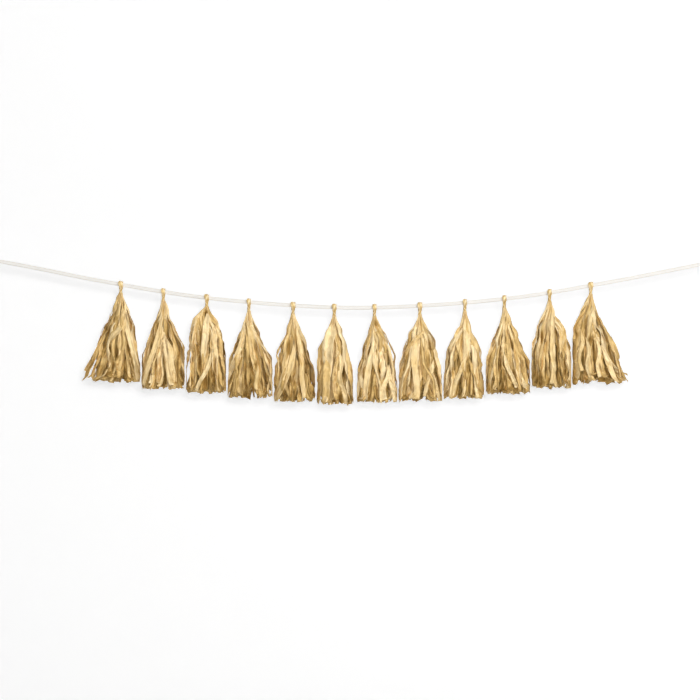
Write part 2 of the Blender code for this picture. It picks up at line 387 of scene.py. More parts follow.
rope_thickness = 0.0044
knob_half_width = 0.0052
leg_half_width = 0.0038
ribbon_clearance, rope_half_depth = 0.0006, 0.0021
bend_radius = ribbon_width / 2 + ribbon_clearance + rope_half_depth
leg_spread = 0.0017
leg_join_depth = 0.0125
neck_depth = 0.0235
rope_drop = neck_depth + 0.001
rope_rings, rope_sides = 64, 16
rope_girth, rope_length = 0.022, 0.075
ply_ridges, ply_twist = 3, 26
ridge_height, crumple_height = 0.2, 0.10
# Tone of the rolled cord, with painted light on its ply ridges, painted shade in the grooves
# between them, and a painted highlight on the knob over the ribbon.
rope_tone, ridge_light_and_groove_shade, painted_knob_highlight = 0.55, 0.3, 0.2
look_ahead = 0.004
rope_weld_distance = 0.000005


def smooth(share):
    share = min(max(share, 0.0), 1.0)
    return share * share * (3 - 2 * share)


def rope_line(along, turns):
    """Centre of the rolled cord: up one leg, over the ribbon and down the other leg.

    It also gives how close the legs have come, as a share, and how far they have twisted.
    """
    total = 2 * rope_drop + math.pi * bend_radius
    run = along * total
    side = 1 if run < total / 2 else -1
    run = min(run, total - run)
    if run > rope_drop:
        angle = (run - rope_drop) / bend_radius
        spot = Vector((0, side * math.cos(angle) * bend_radius, math.sin(angle) * bend_radius))
        return spot, 0, 0
    depth = rope_drop - run
    close = smooth(depth / leg_join_depth)
    apart = bend_radius + (leg_spread - bend_radius) * close
    twist_from = leg_join_depth * 0.6
    turn = turns * math.pi * smooth((depth - twist_from) / (rope_drop - twist_from))
    spot = Vector((side * math.sin(turn) * apart, side * math.cos(turn) * apart, -depth))
    return spot, close, turn


def tissue_grid(columns, rows):
    """A flat grid of tissue to be shaped, with its UV map and a layer for its tones."""
    bm = bmesh.new()
    bmesh.ops.create_grid(bm, x_segments=columns, y_segments=rows, size=0.5)
    # The tone layer also takes painted light and shade.
    return bm, bm.loops.layers.uv.new("UVMap"), bm.verts.layers.float.new("tone")


swings = {joint["name"][:-len("_swing")]: joint for joint in frame["joints"]
          if joint["name"].endswith("_swing")}
for name, joint in swings.items():
    hang = Vector(joint["pos_m"])
    slope = joint["axis"][2] / joint["axis"][0]
    rng = random.Random(name + " loop")
    turns = rng.choice((-1.0, 1.0)) * rng.uniform(0.9, 1.3)
    seed = rng.uniform(0, 50)
    plump = rng.uniform(0.9, 1.12)
    tube, uv, tone_and_shade_layer = tissue_grid(rope_sides, rope_rings)
    spots = {}
    for vert in tube.verts:
        around, along = vert.co.x + 0.5, vert.co.y + 0.5
        centre, close, turn = rope_line(along, turns)
        ahead = rope_line(min(along + look_ahead, 1.0), turns)[0]
        behind = rope_line(max(along - look_ahead, 0.0), turns)[0]
        run = (ahead - behind).normalized()
        wide = Vector((math.cos(turn), -math.sin(turn), 0))
        wide = (wide - run * wide.dot(run)).normalized()
        thick = run.cross(wide)
        angle = around * 2 * math.pi
        half_width = (knob_half_width + (leg_half_width - knob_half_width) * smooth(close)) * plump
        twist = angle * ply_ridges + along * ply_twist * (1 if turns > 0 else -1)
        ridge = 1 + ridge_height * math.cos(twist)
        crumple_at = Vector((math.cos(angle) * 2, math.sin(angle) * 2, along * 14 + seed))
        ridge += crumple_height * noise.noise(crumple_at)
        spot = centre + wide * math.cos(angle) * half_width * ridge
        spot += thick * math.sin(angle) * rope_thickness / 2 * (1 + (ridge - 1) * 0.3)
        spot.z += spot.x * slope * (1 - close)
        vert.co = hang + spot
        # Painted light and shade: lighter on the ridges and the knob, darker in the grooves.
        vert[tone_and_shade_layer] = rope_tone + ridge_light_and_groove_shade * math.cos(twist) + painted_knob_highlight * (1 - close)
        spots[vert] = (around * rope_girth, along * rope_length + seed)
    lay_out(tube, uv, spots)
    bmesh.ops.remove_doubles(tube, verts=tube.verts, dist=rope_weld_distance)
    bmesh.ops.holes_fill(tube, edges=[e for e in tube.edges if e.is_boundary], sides=0)
    bmesh.ops.recalc_face_normals(tube, faces=tube.faces)
    finish_piece(name + "_rolled_loop", tube, tissue, name + "_loop",
                 [name + "_twisted_loop"], 0)

# Skirts. Each tassel is thin gold tissue, slit from both ends almost to the middle and gathered
# there, so that the slit halves fall round each other in many loose, creased strips.
paper_thickness = 0.00025
neck_half_width = 0.0041
neck_half_depth = 0.0047
neck_tuck = 0.008
skirt_depth_share = 0.58
wind_height = 0.26
hem_flare, side_flare = 0.08, 0.10
flare_from = 0.65
hem_droop = 0.012
pleat_depth = 0.0085
crease_depth = 0.0024
ripple_depth = 0.0022
crinkle_depth = 0.0008
full_fold_radius = 0.016
parting_width, parting_run = 0.06, 0.35
fullness, neck_fullness = 0.96, 0.25
most_weave = 0.3
tip_from, tip_run, tip_narrowing = 0.93, 0.07, 0.25
strand_fullness, strand_crease_depth = 0.55, 0.003
# Painted light on the upper skirt near the neck, and painted shade towards the hem.
painted_neck_light, painted_hem_shade = 0.3, 0.12
sheet_rows, strip_columns = 44, 6
strand_rows, strand_columns = 30, 4
# Each tassel keeps to its own room, also when it swings and turns beside its neighbours. The two
# at the garland's low point swing towards each other, so they keep a little further apart.
tassel_count = 12
low_point_left, low_point_right = 6, 7
side_clearance = 0.0014
low_point_clearance = 0.0037
side_ease = 0.003
side_unevenness = 0.005
end_room = 0.022
twist_range = math.radians(30)
corner_clearance = 0.003
depth_room, least_depth_room = 0.045, 0.008
depth_ease = 0.2
# Left and right outline of each tassel, in per cent of its reach at the hem, at these shares of
# its drop.
outline_heights = (0.13, 0.175, 0.23, 0.284, 0.36, 0.447, 0.55, 0.653)
outline_steps = 200
hem_steps = 96
outlines = {
    1: ((13, 17, 22, 28, 42, 56, 72, 86), (12, 19, 27, 37, 47, 60, 66, 77)),
    2: ((10, 14, 23, 30, 43, 56, 75, 90), (15, 20, 27, 34, 50, 64, 84, 91)),
    3: ((29, 44, 60, 71, 81, 86, 87, 92), (14, 22, 36, 54, 68, 76, 84, 90)),
    4: ((12, 16, 24, 33, 47, 60, 71, 78), (10, 13, 22, 33, 46, 61, 80, 99)),
    5: ((12, 17, 30, 38, 51, 59, 75, 92), (12, 19, 29, 38, 50, 62, 75, 94)),
    6: ((17, 23, 34, 44, 60, 80, 93, 99), (12, 20, 33, 40, 57, 71, 80, 87)),
    7: ((13, 18, 25, 35, 49, 60, 71, 85), (13, 23, 35, 47, 60, 72, 79, 82)),
    8: ((10, 17, 28, 50, 56, 72, 80, 95), (11, 16, 28, 40, 52, 62, 70, 81)),
    9: ((11, 14, 20, 33, 53, 75, 87, 92), (10, 14, 23, 33, 49, 72, 82, 90)),
    10: ((8, 9, 15, 29, 38, 56, 76, 96), (12, 19, 29, 34, 46, 62, 75, 93)),
    11: ((17, 23, 34, 48, 67, 79, 94, 100), (11, 17, 22, 32, 62, 74, 84, 92)),
    12: ((23, 35, 45, 56, 72, 90, 95, 99), (7, 10, 17, 23, 36, 49, 65, 77)),
}
# Tassels whose tips curl more than the others' do, and how much more.
curled_tassels = {1: 1.5, 4: 1.4, 10: 1.6, 12: 1.9}
# How deep the hollows are pressed in, and how much painted shade darkens them.
hollow_share, painted_hollow_shade = 0.5, 0.8
# Hollows between the front strips: how far across in millimetres and how far down in per cent of
# the drop, then half the width and half the height in the same measures.
hollows = {
    1: ((-9.5, 70, 3.5, 6), (20.5, 62, 3.5, 7), (-37, 46, 7, 3.5), (-4, 98, 8, 5)),
    2: ((-16, 36, 4, 8), (-27, 52, 5, 8)),
    3: ((-4, 89, 10, 9), (-17, 69, 3.5, 8), (0, 16, 4, 3), (20, 82, 3, 6)),
    4: ((-4, 97, 7, 3), (18, 66, 3, 5)),
    5: ((-25, 94, 10, 4), (-12, 42, 3, 9)),
    6: ((22, 65, 4, 7), (15, 93, 5, 5), (36, 95, 9, 4)),
    7: ((3, 17, 3, 3), (-11, 54, 3, 8), (-30, 46, 4, 5), (12, 64, 3, 5)),
    8: ((20, 55, 4, 8), (43, 80, 4, 6)),
    9: ((8, 68, 3, 4), (-30, 72, 3, 6)),
    10: ((-14, 98, 12, 4), (-40, 92, 6, 5)),
    11: ((-28, 92, 11, 7), (-20, 46, 3, 6)),
    12: ((-1, 56, 6, 5), (-39, 50, 4, 3), (20, 63, 4, 5), (-6, 98, 8, 4)),
}


def ease_into(value, limit, room):
    """Let a value run freely up to its limit and come to rest within some room past it."""
    over = abs(value) - limit
    if over <= 0:
        return value
    return math.copysign(limit + room * math.tanh(over / room), value)


front_strips = "tassel_%02d_front_strips"


class Tassel:
    """The bell that one tassel's strips fall along, below its hang point."""

    def __init__(self, number, hang):
        self.hang = hang
        low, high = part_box(front_strips % number)
        self.drop = hang.z - low.z
        self.left, self.right = hang.x - low.x, high.x - hang.x
        self.left_limit, self.right_limit = self.left + end_room, self.right + end_room
        if number > 1:
            meeting = (low.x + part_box(front_strips % (number - 1))[1].x) / 2
            clearance = low_point_clearance if number == low_point_right else side_clearance
            self.left = self.left_limit = hang.x - meeting - clearance
        if number < tassel_count:
            meeting = (high.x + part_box(front_strips % (number + 1))[0].x) / 2
            clearance = low_point_clearance if number == low_point_left else side_clearance
            self.right = self.right_limit = meeting - clearance - hang.x
        self.neck = neck_depth / self.drop
        self.outlines = outlines[number]
        self.hollows = [(x / 1000, t / 100, half_width / 1000, half_height / 100)
                        for x, t, half_width, half_height in hollows[number]]
        rng = random.Random("tassel_%02d bell" % number)
        self.wind = rng.choice((-1, 1)) * rng.uniform(0.3, 0.7)
        self.seed = rng.uniform(0, 90)
        self.curls = curled_tassels.get(number, 1.0)
        self.partings = [
            (rng.uniform(0.5, 1.0), rng.uniform(0.35, 0.7), rng.uniform(0.005, 0.012))
            for _ in range(4)]
        self.reaches = [[self.measure(side, k / outline_steps) for k in range(outline_steps + 1)]
                        for side in (0, 1)]
        hem = [self.at(k / hem_steps * 2 * math.pi, 1.0) for k in range(hem_steps + 1)]
        self.lengths = [0.0]
        for a, b in zip(hem, hem[1:]):
            self.lengths.append(self.lengths[-1] + (a - b).length)
        self.girth = self.lengths[-1]

    def measure(self, side, t):
        """The outline's reach to one side at a share of the drop: a smooth curve."""
        hem = self.left if side == 0 else self.right
        if t <= self.neck:
            return neck_half_width
        points = [(self.neck, neck_half_width)]
        for height, share in zip(outline_heights, self.outlines[side]):
            points.append((height, share / 100 * hem))
        return max(curve_through(points + [(1.0, hem)], t)[0], 0.002)

    def reach(self, side, t):
        place = min(max(t, 0.0), 1.0) * outline_steps
        k = min(int(place), outline_steps - 1)
        low, high = self.reaches[side][k:k + 2]
        return low + (high - low) * (place - k)

    def depth(self, t):
        mean = (self.reach(0, t) + self.reach(1, t)) / 2
        return neck_half_depth + (mean - neck_half_width) * skirt_depth_share

    def at(self, turn, t):
        """A point of the bell, from the hang point: turn 0 is to the right, a quarter the back."""
        across = math.cos(turn)
        side = 1 if across > 0 else 0
        return Vector((across * self.reach(side, t), math.sin(turn) * self.depth(t),
                       -t * self.drop))

    def turn_at(self, share):
        """The turn at a share of the way round the hem, measured along it."""
        whole = math.floor(share)
        run = (share - whole) * self.girth
        k = min(bisect.bisect_right(self.lengths, run) - 1, hem_steps - 1)
        part = (run - self.lengths[k]) / (self.lengths[k + 1] - self.lengths[k])
        return (whole + (k + part) / hem_steps) * 2 * math.pi

    def height_of(self, run):
        """The share of the drop that a share of a strip's length comes to."""
        return self.neck - neck_tuck + (1 - self.neck + neck_tuck) * run

    def pleat(self, turn, t):
        """Depth of the folds that all sheets of the tassel share, from -1.55 to 0."""
        depth = 0
        for many, share in ((2.3, 1.0), (5.2, 0.55)):
            place = Vector((
                math.cos(turn) * many, math.sin(turn) * many, t * many * 0.7 + self.seed))
            depth += share * (min(abs(noise.noise(place)) * 4.0, 1.0) - 1.0)
        return depth

    def parted(self, share, t):
        """Where a strip hangs when the partings of the tassel have pushed it aside."""
        pushed = share
        for place, start, room in self.partings:
            away = (share - place + 0.5) % 1.0 - 0.5
            near = math.exp(-(away / parting_width) ** 2)
            grown = smooth((t - start) / parting_run)
            pushed += math.copysign(room / self.girth, away) * near * grown
        return pushed

    def hollow(self, spot):
        """How far a point of the front lies in one of the tassel's hollows, from 0 to 1."""
        if spot.y > 0:
            return 0
        depth = 0
        down = -spot.z / self.drop
        for x, t, half_width, half_height in self.hollows:
            depth += math.exp(-(((spot.x - x) / half_width) ** 2 + ((down - t) / half_height) ** 2))
        return min(depth, 1)

    def kept(self, spot):
        """A point brought back into the room that the tassel has to turn in."""
        limit = self.right_limit if spot.x > 0 else self.left_limit
        unevenness = abs(noise.noise(Vector((spot.z * 40, spot.y * 30, self.seed))))
        limit -= side_unevenness * unevenness
        spot.x = ease_into(spot.x, limit - side_ease, side_ease)
        corner = (limit - abs(spot.x) * math.cos(twist_range)) / math.sin(twist_range)
        deep = min(depth_room, max(corner - corner_clearance, least_depth_room))
        spot.y = ease_into(spot.y, deep * (1 - depth_ease), deep * depth_ease)
        return spot


def lay_in(piece, part):
    """Add a finished sheet or strand to the half of the tassel that it belongs to."""
    mesh = bpy.data.meshes.new("part")
    part.to_mesh(mesh)
    part.free()
    piece.from_mesh(mesh)
    bpy.data.meshes.remove(mesh)


def hang_sheet(piece, tassel, rng, middle, width, count, layer, rise, slits, loose, tones_and_layer_shade):
    """One sheet of tissue: gathered at the neck, slit from its hem into strips, and let fall.

    The middle is its place round the hem, layer and rise how far out it lies, slits the shares of
    its length between which its slits start, loose how freely its strips stray, and the tone range
    how light or dark its strips are, set darker on the inner sheets as painted shade. A single
    strip is slit right up to the neck. Gives the width.
    """
    rows = sheet_rows
    sheet, uv, tone_and_shade_layer = tissue_grid(count * strip_columns, rows)
    starts = [round(rng.uniform(*slits) * rows) / rows for _ in range(count + 1)]
    for k in range(1, count):
        border = k / count - 0.5
        cut = [edge for edge in sheet.edges
               if all(abs(vert.co.x - border) < 0.001 for vert in edge.verts)
               and max(0.5 - vert.co.y for vert in edge.verts) > starts[k] + 0.001]
        bmesh.ops.split_edges(sheet, edges=cut)

    seed = rng.uniform(0, 90)
    hem_share = width / tassel.girth
    sheet_tone = rng.uniform(0.35, 0.65) if count > 1 else rng.uniform(0.1, 0.85)
    natural = width / count / 2
    strips = []
    for k in range(count):
        aside = math.cos(tassel.turn_at(middle + ((k + 0.5) / count - 0.5) * hem_share))
        strips.append({
            "sway": rng.gauss(0, 0.0100) * loose,
            "meander": rng.gauss(0, 0.0036) * loose,
            "push": rng.uniform(-0.010, 0.003) * loose,
            "weave": rng.uniform(0.003, 0.009) * loose,
            "spin": rng.gauss(0, 0.6) * loose,
            "turnover": rng.gauss(0, 0.55) * loose,
            "puff": rng.choice((1, 1, 1, -0.7)) * rng.uniform(0.6, 1.0),
            "cup": rng.gauss(0, 0.6),
            "fold_at": rng.uniform(-0.5, 0.5),
            "fold": rng.choice((-1, 1)) * rng.uniform(0.1, 0.8),
            "wave": rng.uniform(0.0008, 0.0030) * loose,
            "phase": rng.uniform(0, 6.3),
            "rate": rng.uniform(5, 12),
            "kink": rng.uniform(0.0010, 0.0030),
            "ragged": -abs(rng.gauss(0, 0.026)),
            "slant": rng.uniform(-0.015, 0.015),
            "curl": (rng.choice((0, 1, 1, 1, -1)) * rng.uniform(0.4, 1.3) * tassel.curls
                     * (1 - 0.6 * aside * aside)),
            "curl_from": rng.uniform(0.82, 0.93),
            "tone": rng.uniform(*tones_and_layer_shade),
        })

    def surface(share, span, t, drift=0.0):
        """A point of the gathered sheet, with its ways outward and along the hem."""
        pushed = tassel.parted(middle + share * hem_share, t) + drift / tassel.girth
        hem_turn = tassel.turn_at(pushed)
        turn = hem_turn + tassel.wind * (1 - smooth((t - tassel.neck) / wind_height))
        inner = 1 + (layer - 1) * smooth((t - tassel.neck) * 2.5)
        flare = smooth((t - flare_from) / (1 - flare_from))
        inner += (hem_flare + side_flare * math.cos(turn) ** 2) * flare
        spot = tassel.at(turn, t)
        room = min(math.hypot(spot.x, spot.y) / full_fold_radius, 1.0)
        out = Vector((math.cos(turn), math.sin(turn), 0))
        spot.x *= inner
        spot.y *= inner
        spot += out * rise * smooth((t - tassel.neck) * 9)
        fold = pleat_depth * (1 - 0.55 * smooth((t - 0.3) / 0.5)) * tassel.pleat(hem_turn, t)
        fold *= 1 - 0.5 * math.cos(turn) ** 2
        crease = abs(noise.noise(Vector((span * 50, t * 2.6, seed + 11))))
        ripple = noise.noise(Vector((span * 45 + t * 9, t * 11 - span * 20, seed + 31)))
        crinkle = noise.noise(Vector((span * 190, t * 14, seed + 23)))
        fold += crease_depth * (0.4 - 2 * crease)
        fold += ripple_depth * ripple
        fold += crinkle_depth * crinkle
        return spot + out * (fold * room), out, Vector((-out.y, out.x, 0))

    frames = {}

    def strip_frame(k, row):
        """Where a row of a strip lies: its middle, the sheet's way outward, the strip's own ways
        across and outward, its half width and how far it puffs."""
        if (k, row) in frames:
            return frames[k, row]
        strip = strips[k]
        run = row / rows
        start = (starts[k] + starts[k + 1]) / 2
        free = max(0.0, (run - start) / (1 - start))
        share = (k + 0.5) / count - 0.5
        aside = math.cos(tassel.turn_at(middle + share * hem_share))
        t = tassel.height_of(run)
        t += free * free * (0.004 + strip["ragged"] - hem_droop * aside * aside)
        drift = strip["sway"] * free ** 1.4
        drift += strip["meander"] * math.sin(strip["rate"] * 0.8 * free + strip["phase"]) * free
        centre, out, along_hem = surface(share, share * width, t, drift)
        half = (surface((k + 1) / count - 0.5, ((k + 1) / count - 0.5) * width, t)[0]
                - surface(k / count - 0.5, (k / count - 0.5) * width, t)[0]).length / 2
        if count == 1:
            opened = smooth((t - tassel.neck) / 0.24)
            half = natural * (neck_fullness + (fullness - neck_fullness) * opened)
        else:
            half += (natural * fullness - half) * smooth(free * 1.6)
        half *= 1 - tip_narrowing * smooth((run - tip_from) / tip_run)
        puff = min(math.sqrt(max(natural ** 2 - half ** 2, 0)) * 0.8, half * 1.3)
        angle = strip["spin"] * smooth(free * 1.3) + strip["turnover"] * free * free
        angle += 1.1 * noise.noise(Vector((free * 6, seed, k * 3.7))) * min(free * 3, 1)
        over = along_hem * math.cos(angle) + out * math.sin(angle)
        lift = out * math.cos(angle) - along_hem * math.sin(angle)
        centre = centre + out * strip["push"] * smooth(free) * (1 - 0.6 * aside * aside)
        weave = noise.noise(Vector((free * 4.8, seed + 5, k * 2.3)))
        centre += out * strip["weave"] * min(weave, most_weave)
        centre += lift * strip["wave"] * math.sin(strip["rate"] * free + strip["phase"])
        frames[k, row] = (centre, out, over, lift, half, puff * strip["puff"])
        return frames[k, row]

    spots = {}
    laid = {}
    for vert in sheet.verts:
        u, run = vert.co.x + 0.5, 0.5 - vert.co.y
        row = round(run * rows)
        middle_of_faces = sum(face.calc_center_median().x for face in vert.link_faces)
        place = (middle_of_faces / len(vert.link_faces) + 0.5) * count
        k = min(max(int(place), 0), count - 1)
        strip = strips[k]
        q = (u * count - k) * 2 - 1
        start = starts[k] * (1 - q) / 2 + starts[k + 1] * (1 + q) / 2
        free = max(0.0, (run - start) / (1 - start))
        t = tassel.height_of(run)
        share = u - 0.5
        centre, out, over, lift, half, puff = strip_frame(k, row)
        spot = None
        if free < 0.3:
            spot, outward, _ = surface(share, share * width, t)
            spot = spot + outward * puff * (0.6 - q * q)
        if free > 0:
            fall = centre + over * q * half
            bowed = strip["cup"] * (q * q - 0.4)
            bowed += strip["fold"] * (abs(q - strip["fold_at"]) - 0.55)
            fall += lift * (bowed * half * smooth(free * 2) + puff * (0.6 - q * q))
            kink = abs(noise.noise(Vector((run * 15 + q * 0.7, seed + k, q * 0.3)))) * 2 - 0.5
            fall += lift * strip["kink"] * kink * smooth(free * 2)
            fall.z -= strip["slant"] * q * free * free * tassel.drop
            if run > strip["curl_from"] and strip["curl"]:
                rest = (run - strip["curl_from"]) * tassel.drop
                whole = (1 - strip["curl_from"]) * tassel.drop
                radius = whole / abs(strip["curl"])
                bend = rest / radius
                fall += out * math.copysign(radius * (1 - math.cos(bend)), strip["curl"])
                fall.z += rest - radius * math.sin(bend)
            spot = fall if spot is None else spot.lerp(fall, smooth(free * 4))
        hollow = tassel.hollow(spot)
        spot.y += hollow * hollow_share * tassel.depth(t)
        laid[vert] = tassel.hang + tassel.kept(spot)
        own_tone_and_shade = sheet_tone + (strip["tone"] - sheet_tone) * smooth(free * 4)
        # Painted light makes the skirt lighter near the neck, and painted shade makes it darker
        # towards the hem.
        own_tone_and_shade += painted_neck_light * (1 - smooth(t * 2.2)) - painted_hem_shade * smooth(t * 2 - 1)
        # Painted shade darkens the hollows.
        vert[tone_and_shade_layer] = own_tone_and_shade - painted_hollow_shade * hollow
        spots[vert] = (u * width + seed, t * tassel.drop)
    for vert, spot in laid.items():
        vert.co = spot
    lay_out(sheet, uv, spots)
    lay_in(piece, sheet)
    return width


def lay_strand(piece, tassel, rng, route, width, tone):
    """One loose strip that lies over the others, along its route. It is about half as long as
    they are, so it gives half its width."""
    route = [Vector((x / 1000, t / 100, lift / 1000)) for x, t, lift in route]
    strand, uv, tone_and_shade_layer = tissue_grid(strand_columns, strand_rows)
    seed = rng.uniform(0, 90)
    spin, turnover = rng.uniform(-0.3, 0.3), rng.uniform(-0.5, 0.5)

    def place(share):
        """A point of the smooth route, from the hang point."""
        run = min(max(share, 0.0), 1.0) * (len(route) - 1)
        k = min(int(run), len(route) - 2)
        here = run - k
        points = [route[min(max(j, 0), len(route) - 1)] for j in range(k - 1, k + 3)]
        x, t, lift = curve_part(points[1], points[2], (points[2] - points[0]) / 2,
                                (points[3] - points[1]) / 2, here)[0]
        reach = tassel.reach(1 if x > 0 else 0, t)
        front = tassel.depth(t) * math.sqrt(max(1 - (x / reach) ** 2, 0))
        return Vector((x, -front - lift, -t * tassel.drop))

    spots = {}
    for vert in strand.verts:
        q, run = vert.co.x * 2, 0.5 - vert.co.y
        centre = place(run)
        fall = (place(run + 0.02) - place(run - 0.02)).normalized()
        side = fall.cross(Vector((0, -1, 0))).normalized()
        lift = side.cross(fall)
        angle = spin + turnover * run + 0.4 * noise.noise(Vector((run * 4, seed, 0)))
        over = side * math.cos(angle) + lift * math.sin(angle)
        up = lift * math.cos(angle) - side * math.sin(angle)
        half = width * strand_fullness * (0.2 + 0.8 * smooth(run * 3.5))
        if route[-1][2] < 0:
            half *= 0.2 + 0.8 * smooth((1 - run) * 4)
        spot = centre + over * q * half + up * half * 0.4 * (q * q - 0.4)
        spot += up * strand_crease_depth * abs(noise.noise(
            Vector((run * 9 + q * 0.6, seed, 7))))
        vert.co = tassel.hang + tassel.kept(spot)
        vert[tone_and_shade_layer] = tone
        spots[vert] = (q * half + seed, run * 0.2)
    lay_out(strand, uv, spots)
    lay_in(piece, strand)
    return width * 0.5


# Strips that cross the others in front. The points of a route are millimetres across, per cent
# of the drop down and millimetres off the skirt. Then come the width in millimetres and the tone.
strand_routes = {
    1: (
        (((6, 24, -3), (6, 36, 2), (-2, 46, 4), (-18, 53, 4), (-34, 61, -3)), 13, 0.68),
        (((-44, 52, -2), (-62, 70, 3), (-78, 80, 2), (-88, 88, 2)), 10, 0.6),
        (((-50, 60, -2), (-66, 76, 2), (-80, 86, 2), (-86, 93, 2)), 8, 0.4),
        (((10, 30, -2), (18, 46, 3), (30, 64, 4), (40, 80, 4), (52, 97, 4)), 11, 0.8),
    ),
    2: (
        (((-4, 26, -2), (-10, 42, 3), (-22, 60, 4), (-36, 76, 4), (-50, 95, 3)), 11, 0.7),
        (((10, 48, -2), (20, 60, 3), (22, 74, 5), (28, 88, 4), (26, 99, 3)), 12, 0.7),
    ),
    3: (
        (((-10, 15, -2), (-20, 22, 2), (-26, 34, 3), (-30, 46, 1), (-34, 56, -7)), 15, 0.8),
        (((2, 16, -2), (0, 26, 3), (-2, 38, 3), (-6, 54, 1), (-10, 68, -7)), 14, 0.85),
        (((10, 16, -2), (22, 26, 2), (28, 38, 3), (34, 48, 1), (36, 60, -7)), 13, 0.75),
        (((12, 56, -2), (8, 68, 4), (-2, 78, 5), (-16, 88, 5), (-24, 97, 3)), 9, 0.8),
    ),
    4: (
        (((-10, 24, -2), (-14, 36, 3), (-26, 52, 3), (-40, 66, 2), (-52, 82, -2)), 12, 0.8),
        (((20, 36, 1), (36, 55, 3), (46, 72, 4), (58, 80, 3)), 6, 0.5),
    ),
    5: (
        (((6, 36, -3), (0, 52, 3), (-10, 68, 5), (-26, 84, 5), (-44, 98, 3)), 12, 0.7),
        (((-8, 50, -2), (-18, 66, 4), (-32, 82, 5), (-46, 96, 3)), 10, 0.7),
        (((8, 22, -2), (16, 40, 3), (22, 56, 2), (22, 74, 4), (30, 96, 1)), 11, 0.7),
    ),
    6: (
        (((-2, 16, -3), (-8, 26, 2), (-14, 38, 4), (-16, 52, 3), (-16, 64, -3)), 25, 0.85),
        (((-16, 52, -2), (-18, 64, 3), (-20, 80, 4), (-20, 98, 3)), 17, 0.45),
        (((12, 44, -2), (18, 58, 4), (14, 72, 5), (26, 88, 5), (30, 99, 4)), 10, 0.75),
    ),
    7: (
        (((6, 24, -3), (0, 40, 3), (-12, 58, 5), (-20, 78, 4), (-24, 97, 2)), 13, 0.75),
        (((36, 60, -2), (34, 72, 4), (22, 84, 5), (16, 96, 3)), 10, 0.8),
        (((30, 60, -2), (38, 74, 4), (46, 87, 5), (52, 99, 3)), 10, 0.85),
    ),
    8: (
        (((10, 26, -3), (-2, 31, 2), (-16, 37, 2), (-30, 45, 1), (-38, 56, -3)), 10, 0.55),
        (((-4, 30, -4), (-12, 42, 2), (-15, 56, 4), (-12, 70, 4), (-8, 84, 3),
          (-10, 97, 2)), 14, 0.7),
        (((34, 56, -2), (28, 68, 4), (18, 80, 5), (10, 94, 3)), 10, 0.75),
        (((26, 66, -1), (36, 78, 4), (44, 90, 4), (48, 99, 3)), 8, 0.7),
    ),
    9: (
        (((-6, 22, -1), (-16, 28, 1), (-22, 35, 1), (-18, 44, 2), (-12, 56, -3)), 9, 0.6),
        (((0, 16, -2), (4, 28, 2), (4, 42, 3), (6, 62, -8)), 16, 0.8),
        (((4, 54, -2), (-10, 68, 4), (-24, 82, 5), (-34, 97, 3)), 10, 0.7),
    ),
    10: (
        (((14, 50, -2), (26, 64, 4), (34, 77, 5), (46, 88, 6), (60, 93, 5)), 11, 0.85),
        (((-2, 56, -2), (6, 70, 4), (20, 82, 5), (30, 92, 5)), 9, 0.8),
        (((-16, 56, -2), (-24, 72, 4), (-20, 84, 5), (-28, 94, 5)), 9, 0.5),
    ),
    11: (
        (((8, 22, -2), (21, 31, 1), (28, 39, 2), (29, 50, 2), (26, 64, -3)), 12, 0.6),
        (((14, 27, -2), (28, 35, 0), (35, 43, 1), (35, 54, 1), (34, 70, -3)), 11, 0.3),
        (((0, 26, -3), (6, 42, 3), (3, 60, 4), (9, 78, 5), (3, 95, 3)), 9, 0.65),
    ),
    12: (
        (((-12, 22, -3), (-30, 36, 0), (-42, 47, 1), (-40, 58, 1), (-38, 70, -3)), 12, 0.4),
        (((10, 52, -2), (20, 66, 5), (14, 80, 6), (20, 92, 7)), 8, 0.75),
        (((-14, 52, -2), (-6, 66, 4), (-12, 80, 6), (-4, 92, 6)), 8, 0.7),
        (((-26, 44, -2), (-22, 58, 4), (-32, 72, 6), (-24, 86, 6)), 8, 0.6),
        (((-30, 62, -2), (-38, 76, 4), (-34, 88, 6), (-40, 96, 5)), 9, 0.7),
        (((24, 60, -2), (44, 76, 4), (62, 84, 4), (78, 87, 3)), 10, 0.8),
        (((30, 72, -2), (48, 84, 4), (64, 92, 4), (74, 95, 3)), 9, 0.6),
    ),
}

# How the sheets of a tassel hang, from the inside out: a few gathered ones, then rows of single
# strips, then some that stray over them. A row has its number of strips and their widths.
# The tone ranges run from dark on the inner sheets to light on the outer and stray strips. This is
# painted shade inside the tassel, on top of each strip's own random tone.
neck_slits = (0.0, 0.05)
inner_sheet = dict(count=3, layer=0.45, rise=0, slits=(0.08, 0.25), loose=0.8, tones_and_layer_shade=(0.0, 0.45))
gathered_sheet = dict(
    count=4, layer=0.78, rise=-0.002, slits=(0.04, 0.3), loose=0.9, tones_and_layer_shade=(0.0, 0.6))
strip_layers = (
    (9, (0.011, 0.015), dict(layer=0.95, rise=-0.0015, loose=1.0, tones_and_layer_shade=(0.1, 0.8))),
    (6, (0.012, 0.017), dict(layer=1.02, rise=0.0015, loose=1.1, tones_and_layer_shade=(0.3, 1.0))),
)
stray_strip = dict(layer=1.05, rise=0.002, loose=1.4, tones_and_layer_shade=(0.3, 1.0))

